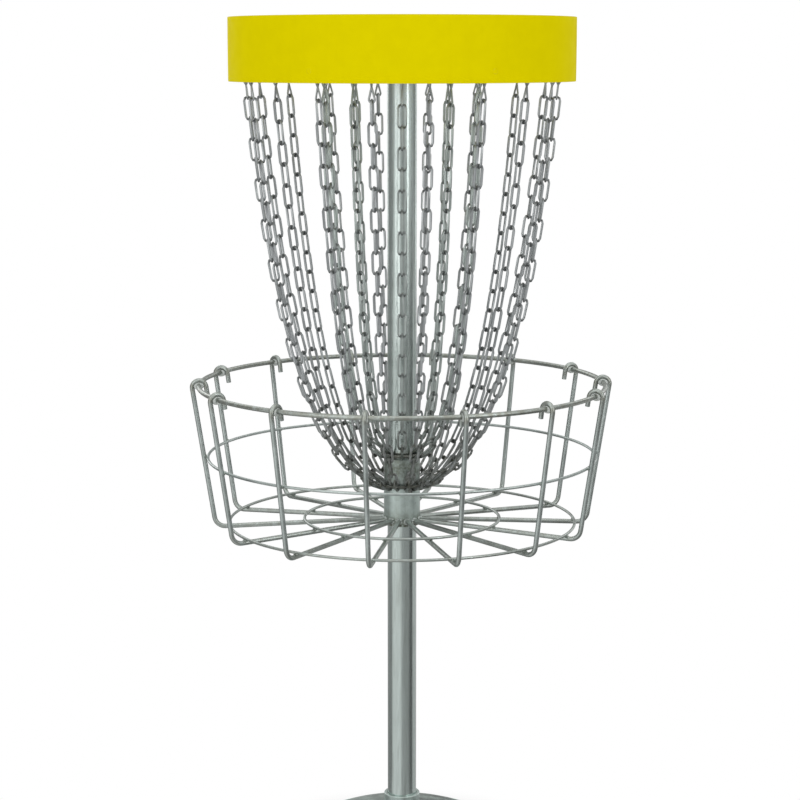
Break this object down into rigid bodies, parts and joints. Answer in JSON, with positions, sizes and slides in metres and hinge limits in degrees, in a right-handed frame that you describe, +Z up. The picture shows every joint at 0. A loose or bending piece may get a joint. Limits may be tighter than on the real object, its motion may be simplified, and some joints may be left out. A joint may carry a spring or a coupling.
{
  "type": "disc golf basket",
  "caption": "Free-standing disc golf target: pole on a domed base, wire catching basket, yellow sheet band and two rows of chains.",
  "frame": {"origin": "centre of the round base, on the floor", "axes": "+Z up along the pole, -Y towards the side that the picture shows, +X to its right"},
  "size_m": [0.6996, 0.6912, 1.418],
  "materials": {
    "galvanised_pipe": "hot-dip galvanised, satin",
    "galvanised_wire": "hot-dip galvanised, satin",
    "galvanised_plate": "hot-dip galvanised, mottled",
    "chain_steel": "zinc-plated, slightly dull",
    "zinc_fastener": "bright zinc",
    "band_yellow": "powder-coated, semi-gloss"
  },
  "bodies": {
    "base": {"base_dome": "galvanised_plate", "socket_tube": "galvanised_pipe", "lock_nut": "zinc_fastener"},
    "lock_bolt": {"lock_bolt": "zinc_fastener"},
    "mast": {"pole": "galvanised_pipe", "pole_cap": "galvanised_pipe", "hub_tube": "galvanised_pipe", "cage_rod_01": "galvanised_wire", "cage_rod_02": "galvanised_wire", "cage_rod_03": "galvanised_wire", "cage_rod_04": "galvanised_wire", "cage_rod_05": "galvanised_wire", "cage_rod_06": "galvanised_wire", "cage_rod_07": "galvanised_wire", "cage_rod_08": "galvanised_wire", "cage_rod_09": "galvanised_wire", "cage_rod_10": "galvanised_wire", "cage_rod_11": "galvanised_wire", "cage_rod_12": "galvanised_wire", "cage_rod_13": "galvanised_wire", "cage_rod_14": "galvanised_wire", "rim_ring": "galvanised_wire", "mid_ring": "galvanised_wire", "floor_ring_outer": "galvanised_wire", "floor_ring_inner": "galvanised_wire", "rack_frame": "galvanised_wire", "rack_bolt": "zinc_fastener", "outer_hoop": "galvanised_wire", "inner_hoop": "galvanised_wire", "band": "band_yellow", "outer_gather_ring": "chain_steel", "inner_gather_ring": "chain_steel"},
    "outer_chain_01": {"outer_chain_01": "chain_steel"},
    "outer_chain_02": {"outer_chain_02": "chain_steel"},
    "outer_chain_03": {"outer_chain_03": "chain_steel"},
    "outer_chain_04": {"outer_chain_04": "chain_steel"},
    "outer_chain_05": {"outer_chain_05": "chain_steel"},
    "outer_chain_06": {"outer_chain_06": "chain_steel"},
    "outer_chain_07": {"outer_chain_07": "chain_steel"},
    "outer_chain_08": {"outer_chain_08": "chain_steel"},
    "outer_chain_09": {"outer_chain_09": "chain_steel"},
    "outer_chain_10": {"outer_chain_10": "chain_steel"},
    "outer_chain_11": {"outer_chain_11": "chain_steel"},
    "outer_chain_12": {"outer_chain_12": "chain_steel"},
    "outer_chain_13": {"outer_chain_13": "chain_steel"},
    "outer_chain_14": {"outer_chain_14": "chain_steel"},
    "outer_chain_15": {"outer_chain_15": "chain_steel"},
    "outer_chain_16": {"outer_chain_16": "chain_steel"},
    "outer_chain_17": {"outer_chain_17": "chain_steel"},
    "outer_chain_18": {"outer_chain_18": "chain_steel"},
    "inner_chain_01": {"inner_chain_01": "chain_steel"},
    "inner_chain_02": {"inner_chain_02": "chain_steel"},
    "inner_chain_03": {"inner_chain_03": "chain_steel"},
    "inner_chain_04": {"inner_chain_04": "chain_steel"},
    "inner_chain_05": {"inner_chain_05": "chain_steel"},
    "inner_chain_06": {"inner_chain_06": "chain_steel"},
    "inner_chain_07": {"inner_chain_07": "chain_steel"},
    "inner_chain_08": {"inner_chain_08": "chain_steel"},
    "inner_chain_09": {"inner_chain_09": "chain_steel"},
    "inner_chain_10": {"inner_chain_10": "chain_steel"}
  },
  "joints": [
    {"name": "mast_lift", "type": "slide", "parent": "base", "child": "mast", "axis": [0, 0, 1], "range_m": [0, 0.1]},
    {"name": "lock_bolt_turn", "type": "hinge", "parent": "base", "child": "lock_bolt", "pos_m": [0, 0.05, 0.101], "axis": [0, 1, 0], "range_deg": [0, 720]},
    {"name": "outer_chain_01_swing", "type": "hinge", "parent": "mast", "child": "outer_chain_01", "pos_m": [0.04193, -0.25055, 1.32165], "axis": [0.05, -0.299, 0.9529], "range_deg": [-18, 18]},
    {"name": "outer_chain_02_swing", "type": "hinge", "parent": "mast", "child": "outer_chain_02", "pos_m": [0.12509, -0.2211, 1.32165], "axis": [0.1493, -0.2639, 0.9529], "range_deg": [-18, 18]},
    {"name": "outer_chain_03_swing", "type": "hinge", "parent": "mast", "child": "outer_chain_03", "pos_m": [0.19317, -0.16498, 1.32165], "axis": [0.2305, -0.1969, 0.9529], "range_deg": [-18, 18]},
    {"name": "outer_chain_04_swing", "type": "hinge", "parent": "mast", "child": "outer_chain_04", "pos_m": [0.23795, -0.08897, 1.32165], "axis": [0.284, -0.1062, 0.9529], "range_deg": [-18, 18]},
    {"name": "outer_chain_05_swing", "type": "hinge", "parent": "mast", "child": "outer_chain_05", "pos_m": [0.25403, -0.00222, 1.32165], "axis": [0.3032, -0.0026, 0.9529], "range_deg": [-18, 18]},
    {"name": "outer_chain_06_swing", "type": "hinge", "parent": "mast", "child": "outer_chain_06", "pos_m": [0.23947, 0.0848, 1.32165], "axis": [0.2858, 0.1012, 0.9529], "range_deg": [-18, 18]},
    {"name": "outer_chain_07_swing", "type": "hinge", "parent": "mast", "child": "outer_chain_07", "pos_m": [0.19602, 0.16159, 1.32165], "axis": [0.2339, 0.1928, 0.9529], "range_deg": [-18, 18]},
    {"name": "outer_chain_08_swing", "type": "hinge", "parent": "mast", "child": "outer_chain_08", "pos_m": [0.12893, 0.21889, 1.32165], "axis": [0.1539, 0.2612, 0.9529], "range_deg": [-18, 18]},
    {"name": "outer_chain_09_swing", "type": "hinge", "parent": "mast", "child": "outer_chain_09", "pos_m": [0.0463, 0.24978, 1.32165], "axis": [0.0552, 0.2981, 0.9529], "range_deg": [-18, 18]},
    {"name": "outer_chain_10_swing", "type": "hinge", "parent": "mast", "child": "outer_chain_10", "pos_m": [-0.04193, 0.25055, 1.32165], "axis": [-0.05, 0.299, 0.9529], "range_deg": [-18, 18]},
    {"name": "outer_chain_11_swing", "type": "hinge", "parent": "mast", "child": "outer_chain_11", "pos_m": [-0.12509, 0.2211, 1.32165], "axis": [-0.1493, 0.2639, 0.9529], "range_deg": [-18, 18]},
    {"name": "outer_chain_12_swing", "type": "hinge", "parent": "mast", "child": "outer_chain_12", "pos_m": [-0.19317, 0.16498, 1.32165], "axis": [-0.2305, 0.1969, 0.9529], "range_deg": [-18, 18]},
    {"name": "outer_chain_13_swing", "type": "hinge", "parent": "mast", "child": "outer_chain_13", "pos_m": [-0.23795, 0.08897, 1.32165], "axis": [-0.284, 0.1062, 0.9529], "range_deg": [-18, 18]},
    {"name": "outer_chain_14_swing", "type": "hinge", "parent": "mast", "child": "outer_chain_14", "pos_m": [-0.25403, 0.00222, 1.32165], "axis": [-0.3032, 0.0026, 0.9529], "range_deg": [-18, 18]},
    {"name": "outer_chain_15_swing", "type": "hinge", "parent": "mast", "child": "outer_chain_15", "pos_m": [-0.23947, -0.0848, 1.32165], "axis": [-0.2858, -0.1012, 0.9529], "range_deg": [-18, 18]},
    {"name": "outer_chain_16_swing", "type": "hinge", "parent": "mast", "child": "outer_chain_16", "pos_m": [-0.19602, -0.16159, 1.32165], "axis": [-0.2339, -0.1928, 0.9529], "range_deg": [-18, 18]},
    {"name": "outer_chain_17_swing", "type": "hinge", "parent": "mast", "child": "outer_chain_17", "pos_m": [-0.12893, -0.21889, 1.32165], "axis": [-0.1539, -0.2612, 0.9529], "range_deg": [-18, 18]},
    {"name": "outer_chain_18_swing", "type": "hinge", "parent": "mast", "child": "outer_chain_18", "pos_m": [-0.0463, -0.24978, 1.32165], "axis": [-0.0552, -0.2981, 0.9529], "range_deg": [-18, 18]},
    {"name": "inner_chain_01_swing", "type": "hinge", "parent": "mast", "child": "inner_chain_01", "pos_m": [0, -0.13181, 1.32163], "axis": [0, -0.1546, 0.988], "range_deg": [-24, 24]},
    {"name": "inner_chain_02_swing", "type": "hinge", "parent": "mast", "child": "inner_chain_02", "pos_m": [0.07748, -0.10663, 1.32163], "axis": [0.0909, -0.1251, 0.988], "range_deg": [-24, 24]},
    {"name": "inner_chain_03_swing", "type": "hinge", "parent": "mast", "child": "inner_chain_03", "pos_m": [0.12536, -0.04073, 1.32163], "axis": [0.147, -0.0478, 0.988], "range_deg": [-24, 24]},
    {"name": "inner_chain_04_swing", "type": "hinge", "parent": "mast", "child": "inner_chain_04", "pos_m": [0.12536, 0.04073, 1.32163], "axis": [0.147, 0.0478, 0.988], "range_deg": [-24, 24]},
    {"name": "inner_chain_05_swing", "type": "hinge", "parent": "mast", "child": "inner_chain_05", "pos_m": [0.07748, 0.10663, 1.32163], "axis": [0.0909, 0.1251, 0.988], "range_deg": [-24, 24]},
    {"name": "inner_chain_06_swing", "type": "hinge", "parent": "mast", "child": "inner_chain_06", "pos_m": [0, 0.13181, 1.32163], "axis": [0, 0.1546, 0.988], "range_deg": [-24, 24]},
    {"name": "inner_chain_07_swing", "type": "hinge", "parent": "mast", "child": "inner_chain_07", "pos_m": [-0.07748, 0.10663, 1.32163], "axis": [-0.0909, 0.1251, 0.988], "range_deg": [-24, 24]},
    {"name": "inner_chain_08_swing", "type": "hinge", "parent": "mast", "child": "inner_chain_08", "pos_m": [-0.12536, 0.04073, 1.32163], "axis": [-0.147, 0.0478, 0.988], "range_deg": [-24, 24]},
    {"name": "inner_chain_09_swing", "type": "hinge", "parent": "mast", "child": "inner_chain_09", "pos_m": [-0.12536, -0.04073, 1.32163], "axis": [-0.147, -0.0478, 0.988], "range_deg": [-24, 24]},
    {"name": "inner_chain_10_swing", "type": "hinge", "parent": "mast", "child": "inner_chain_10", "pos_m": [-0.07748, -0.10663, 1.32163], "axis": [-0.0909, -0.1251, 0.988], "range_deg": [-24, 24]}
  ]
}
